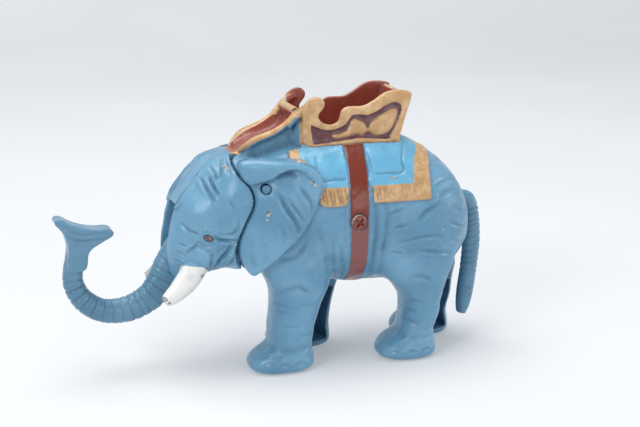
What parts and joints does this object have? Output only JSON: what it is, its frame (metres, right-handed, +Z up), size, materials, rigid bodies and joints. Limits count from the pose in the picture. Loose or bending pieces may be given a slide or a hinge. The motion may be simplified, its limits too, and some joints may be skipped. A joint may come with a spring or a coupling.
{
  "type": "mechanical coin bank",
  "caption": "Elephant coin bank in two painted cast halves; pulling the tail lifts the trunk, which tosses a coin into the open howdah.",
  "frame": {"origin": "bottom centre of the bounding box, on the plane the feet stand on", "axes": "+X from head to tail along the elephant's length, +Y to its right side, +Z up"},
  "size_m": [0.2151, 0.0696, 0.133],
  "materials": {
    "body_paint": "semi-gloss blue enamel with turquoise, gold, red-brown and white painted areas",
    "trunk_paint": "semi-gloss blue enamel",
    "tail_paint": "semi-gloss blue enamel",
    "wire": "dull drawn wire",
    "pin_iron": "dark oiled iron",
    "screw_steel": "zinc plated, paint caught in the recess"
  },
  "bodies": {
    "body": {"left_body_half": "body_paint", "right_body_half": "body_paint", "trunk_pivot_pin": "pin_iron", "tail_pivot_pin": "pin_iron", "front_rivet": "pin_iron", "body_screw": "screw_steel", "body_nut": "screw_steel"},
    "trunk": {"trunk": "trunk_paint"},
    "tail": {"tail": "tail_paint"},
    "link": {"link_rod": "wire"}
  },
  "joints": [
    {"name": "trunk_lift", "type": "hinge", "parent": "body", "child": "trunk", "pos_m": [-0.037, 0, 0.072], "axis": [0, 1, 0], "range_deg": [0, 56]},
    {"name": "tail_pull", "type": "hinge", "parent": "body", "child": "tail", "pos_m": [0.084, 0, 0.07], "axis": [0, -1, 0], "range_deg": [0, 35]},
    {"name": "link_turn", "type": "hinge", "parent": "tail", "child": "link", "pos_m": [0.08063, 0, 0.05932], "axis": [0, 1, 0], "range_deg": [0, 35]}
  ],
  "couplings": [
    {"joint": "tail_pull", "follows": "trunk_lift", "ratio": 0.625},
    {"joint": "link_turn", "follows": "trunk_lift", "ratio": 0.625}
  ]
}
